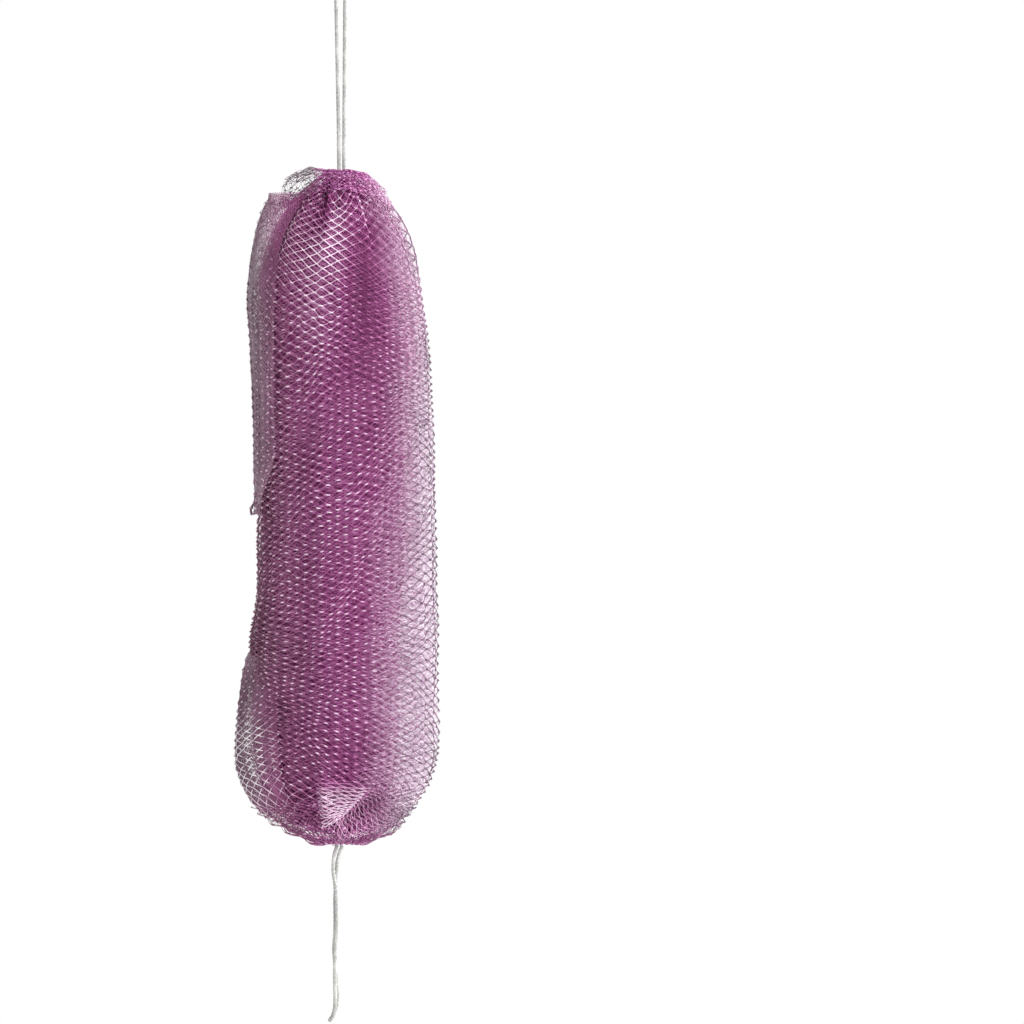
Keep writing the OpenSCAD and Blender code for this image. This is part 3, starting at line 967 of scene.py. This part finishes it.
UPPER, LOWER = "upper_left_fold", "lower_left_fold"
FILM = dict(
    look=SHEER, slot="sheer_net", radius=0.14, tone=film_tone, swell=film_swell, profile=COARSE, sides=3,
    lift=0.06 * MM,
)
FOLD_NET = dict(slot="sheer_net", tall=4.1, pucker=0.3 * MM, jitter=(0.03, 0.2))
upper_film = fold_skin(UPPER, 0.95, 33, top=-3 * MM, taper=60 * MM)
loose_net("upper_fold_film", upper_film, 42, 11, cad_node=UPPER, tall=1.7, **FILM)
upper_net = fold_skin(UPPER, 1.0, 33.5, taper=60 * MM, flare=2 * MM)
loose_net(
    "upper_fold_net", upper_net, 6, 12, look=FOLD, cad_node=UPPER, radius=0.15, tone=upper_tone,
    swell=upper_swell, slant=body_slant, wander=0.2, **FOLD_NET,
)
loose_net("lower_fold_film", fold_skin(LOWER, 0.95, 38), 46, 13, cad_node=LOWER, tall=1.9, **FILM)
loose_net(
    "lower_fold_net", fold_skin(LOWER, 1.0, 39, wave=0.2), 9, 14, look=SHEER, cad_node=LOWER, radius=0.165,
    tone=lower_tone, pulled=lower_pull, slant=lower_slant, wander=0.15, **FOLD_NET,
)


# -------- ruffles round the two necks
NECK_REACH = 4.9


def ruffle_skin(neck_z, left, right, front, frill, seed):
    """A skirt from a neck outwards. Its left, right and front profiles are each (reach, height) in mm."""
    s = np.linspace(0, 1, 60)
    table = np.array([[(NECK_REACH, neck_z), *profile] for profile in (left, right, front)], float)
    count = table.shape[1]
    at = np.linspace(0, count - 1, len(s))
    reach, high = (np.array([np.interp(at, np.arange(count), way[:, k]) for way in table]) for k in (0, 1))
    angle = all_round(360)
    c, d = np.cos(angle), np.sin(angle)
    on_left = step(-c, -0.25, 0.25)
    side, side_z = (on_left * way[0][:, None] + (1 - on_left) * way[1][:, None] for way in (reach, high))
    z = c**2 * side_z + d**2 * high[2][:, None]
    rim = waves(seed, angle, np.zeros_like(angle), (3, 8), (0, 0), 5)
    flutter = np.cos(13 * angle + 2 * rim) + 0.6 * np.cos(23 * angle + 1.3)
    grow = 1 + s[:, None] * 0.06 * rim + frill * (s[:, None] ** 1.5) * flutter / 30
    x, y = c * side * grow, d * reach[2][:, None] * grow
    z = z + frill * s[:, None] ** 1.5 * (0.6 * flutter + rim)
    r, turn = np.hypot(x, y), np.arctan2(y, x)
    r = r + creases(x * MM, z * MM, step(-np.sin(turn), 0.15, 0.6)) / MM
    return Skin(np.stack([r * np.cos(turn), r * np.sin(turn), z], -1) * MM)


def ruffle_tone(points, knotty):
    # Painted highlights on the knots, with the spots' painted light and shade.
    return 0.2 + 0.6 * knotty + spots(points, OUTER_SPOTS)


TOP_RUFFLE = dict(
    look=WIRY, slot="outer_net", cad_node="top_ruffle", radius=0.13, pucker=0.4 * MM, tone=ruffle_tone,
)
BOTTOM_RUFFLE = dict(look=OUTER, slot="outer_net", cad_node="bottom_ruffle")
LINING = dict(
    look=SLEEVE_LOOK, slot="sleeve_net", radius=0.17, tall=2.4, tone=inner_tone, profile=COARSE, sides=3,
)
top_outer = ruffle_skin(
    -108.6,
    [(10, -107.8), (15, -107.6), (21, -109.6), (27, -112.8), (29, -117), (30, -122), (31, -127)],
    [(9, -108.9), (13, -110.6), (16.8, -113.6), (19.6, -117), (22.2, -120.8), (24.8, -124.8), (27.4, -128.8)],
    [(7, -108.7), (9, -109.3), (11, -110.5), (12.5, -112), (14, -114), (15.5, -116.5), (17, -119)],
    frill=0.7, seed=21,
)
loose_net("top_ruffle_outer", top_outer, 27, 31, tall=3.8, tails=2.2 * MM, **TOP_RUFFLE)
top_inner = ruffle_skin(
    -108.6,
    [(9, -107.9), (13, -107.2), (17, -107.3), (21, -109.2), (25, -111.6), (28, -114)],
    [(8, -108.5), (11.5, -109.6), (14.8, -111.8), (17.6, -114.4), (20.2, -117.4), (22.4, -120.4)],
    [(6.5, -108.6), (8, -109), (9.5, -109.6), (11, -110.5), (12.5, -112), (14, -114)],
    frill=0.8, seed=22,
)
loose_net("top_ruffle_inner", top_inner, 25, 32, tall=3.6, tails=2.8 * MM, **TOP_RUFFLE)
bottom_outer = ruffle_skin(
    -455.4,
    [(11, -455.2), (17, -454.2), (23.5, -451), (29, -448), (34, -445), (38.3, -442), (43, -436.5)],
    [(10, -455.2), (15, -454.2), (23, -451.4), (28, -448), (30.5, -445), (33, -441.5), (38.5, -436)],
    [(9, -454.6), (13, -452.6), (16.5, -449.6), (19.5, -446), (22, -442), (24.5, -437.5), (27, -432.5)],
    frill=1.0, seed=23,
)
loose_net(
    "bottom_ruffle_outer", bottom_outer, 28, 33, radius=0.15, tall=4.4, pucker=0.9 * MM, tone=ruffle_tone,
    **BOTTOM_RUFFLE,
)
bottom_inner = ruffle_skin(
    -455,
    [(11, -454.4), (17, -452.8), (23, -450), (28, -447), (32, -444), (36, -440.5)],
    [(11, -454.4), (17, -453), (23.5, -451), (28, -449), (31, -446.5), (33.5, -443.5)],
    [(8, -454), (11.5, -452), (14.5, -449.5), (17, -446.5), (19.5, -443), (22, -439)],
    frill=0.9, seed=24,
)
loose_net(
    "bottom_ruffle_inner", bottom_inner, 22, 34, radius=0.15, tall=3.6, pucker=0.5 * MM, tone=inner_tone,
    **BOTTOM_RUFFLE,
)
top_lining = ruffle_skin(
    -108.8,
    [(7, -109), (9.5, -110.5), (12.5, -112.8), (16, -116), (20, -119.5), (24, -123.5), (28, -128)],
    [(9, -109.4), (12.5, -111.2), (16, -114), (18.8, -117.4), (21.4, -121.2), (24, -125.2), (26.5, -129.2)],
    [(7, -109), (9, -109.7), (11, -111), (12.5, -112.6), (14, -114.6), (15.5, -117), (17, -119.8)],
    frill=0.5, seed=25,
)
loose_net("top_ruffle_lining", top_lining, 44, 35, cad_node="top_ruffle", **LINING)
bottom_lining = ruffle_skin(
    -454.8,
    [(11, -454.3), (17, -452.8), (23, -449.6), (28.3, -446.4), (33, -443.3), (37, -440), (41, -434.5)],
    [(10, -454.3), (15, -453), (22, -450), (27, -446.6), (30, -443.5), (33, -440), (38, -434.5)],
    [(8.5, -453.6), (12, -451.3), (15.3, -448.3), (18.3, -444.5), (21, -440.5), (23.6, -436), (26, -431)],
    frill=0.4, seed=26,
)
loose_net("bottom_ruffle_lining", bottom_lining, 48, 36, cad_node="bottom_ruffle", **LINING)


# -------- the pleats in front of the bottom neck
def front_of(skins, x, z):
    """How far forward the skins reach at each x and z."""
    vertices, faces, first = [], [], 0
    for skin in skins:
        rows, columns = skin.grid.shape[:2]
        quads = ring_faces(np.arange(rows * columns).reshape(1, rows, columns))[0] + first
        vertices += skin.grid.reshape(-1, 3).tolist()
        faces += quads.tolist()
        first += rows * columns
    tree = BVHTree.FromPolygons(vertices, faces)
    y = np.empty(x.shape)
    for i in np.ndindex(x.shape):
        hit = tree.ray_cast(Vector((x[i], -RAY_START, z[i])), Vector((0, 1, 0)))[0]
        y[i] = hit.y if hit is not None else np.nan
    return np.where(np.isnan(y), np.nanmax(y), y)


def fan_skin(corners, skins, stand_off):
    """A sheet on the skins' front. corners are x and z in mm: start left and right, end left and right."""
    down, across = np.meshgrid(np.linspace(0, 1, 40), np.linspace(0, 1, 80), indexing="ij")
    shares = ((1 - down) * (1 - across), (1 - down) * across, down * (1 - across), down * across)
    pairs = list(zip(shares, corners, strict=True))
    x, z = (sum(share * corner[k] for share, corner in pairs) * MM for k in (0, 1))
    y = front_of(skins, x, z)
    for _ in range(3):
        y[1:-1] = (y[:-2] + y[1:-1] + y[2:]) / 3
    return Skin(np.stack([x, y - stand_off * MM, z], -1), closed=False)


def fan_tone(points, knotty):
    # Painted highlights on the knots.
    return 0.4 + 0.45 * knotty


def crest_tone(points, knotty):
    """The crest's painted light fades out at its top and at its left; its knots carry painted highlights."""
    x, z = points[..., 0] / MM, points[..., 2] / MM
    fade = step(-z, 419, 430) * (0.4 + 0.6 * step(x, -13, -7))
    return 0.3 + (0.4 + 0.3 * knotty) * fade


def straight(z):
    return 1 + 0 * z


FRONT_SKINS = [bottom_outer, body_skin(0.2 * MM)]
PLEATS = dict(BOTTOM_RUFFLE, tall=9, pulled=straight, jitter=(0.1, 0.1))
fan = fan_skin([(-1, -438), (22, -424.5), (-1, -453.5), (35, -441)], FRONT_SKINS, 0.7)
loose_net("bottom_fan_net", fan, 13, 37, radius=0.13, tone=fan_tone, **PLEATS)
crest = fan_skin([(16, -425), (1, -441), (-12.5, -419), (-8.5, -446)], FRONT_SKINS, 1.0)
loose_net("bottom_crest_net", crest, 12, 38, radius=0.14, tone=crest_tone, **PLEATS)


# -------- light and floor
def area_light(name, place, target, size, power):
    data = bpy.data.lights.new(name, "AREA")
    data.size = size
    data.energy = power
    lamp = bpy.data.objects.new(name, data)
    lamp.location = place
    lamp.rotation_mode = "QUATERNION"
    lamp.rotation_quaternion = (Vector(target) - Vector(place)).to_track_quat("-Z", "Y")
    bpy.context.scene.collection.objects.link(lamp)


def make_world(seen, given):
    """White behind the object, and a dimmer even light on it."""
    world = bpy.data.worlds.new("studio")
    world.use_nodes = True
    tree = world.node_tree
    shown = tree.nodes["Background"]
    shown.inputs["Color"].default_value = (1, 1, 1, 1)
    shown.inputs["Strength"].default_value = seen
    ambient = node(tree, "Background", Color=(1, 1, 1, 1), Strength=given)
    path = node(tree, "LightPath")
    mix = node(tree, "MixShader")
    tree.links.new(path.outputs["Is Camera Ray"], mix.inputs[0])
    tree.links.new(ambient.outputs[0], mix.inputs[1])
    tree.links.new(shown.outputs[0], mix.inputs[2])
    tree.links.new(mix.outputs[0], tree.nodes["World Output"].inputs["Surface"])
    bpy.context.scene.world = world


FLOOR_Z = -0.62
FLOOR_RINGS = (0.02, 0.15, 0.3, 0.45)
FLOOR_SIDES = 96


def floor():
    made, tree, shader, place = material("pale_floor")
    greys = ramp(tree, noise(tree, place, 6.0), [(0.3, (0.86, 0.86, 0.86)), (0.7, (0.9, 0.9, 0.9))])
    tree.links.new(greys, shader.inputs["Base Color"])
    shader.inputs["Roughness"].default_value = 0.9
    a = 2 * math.pi * np.arange(FLOOR_SIDES) / FLOOR_SIDES
    level = np.full(FLOOR_SIDES, FLOOR_Z)
    grid = np.array([np.stack([r * np.cos(a), r * np.sin(a), level], -1) for r in FLOOR_RINGS])
    index = np.arange(len(FLOOR_RINGS) * FLOOR_SIDES).reshape(1, -1, FLOOR_SIDES)
    quads = ring_faces(index)[0]
    piece = new_mesh("floor", [(grid.reshape(-1, 3), quads[:, ::-1], index[0, :1])])
    piece.data.materials.append(made)


bpy.context.scene.view_settings.view_transform = "Standard"
make_world(1.0, 0.5)
floor()
body_middle = (0, 0, (NECK_TOP + NECK_BOTTOM) / 2)
area_light("key", (1.4, -1.5, 0.35), body_middle, 0.9, 40)
area_light("left", (-1.7, -1.0, -0.4), body_middle, 0.6, 8)
area_light("right", (1.75, -0.2, -0.3), body_middle, 0.6, 10)
area_light("back_right", (1.2, 1.1, -0.1), body_middle, 0.9, 26)
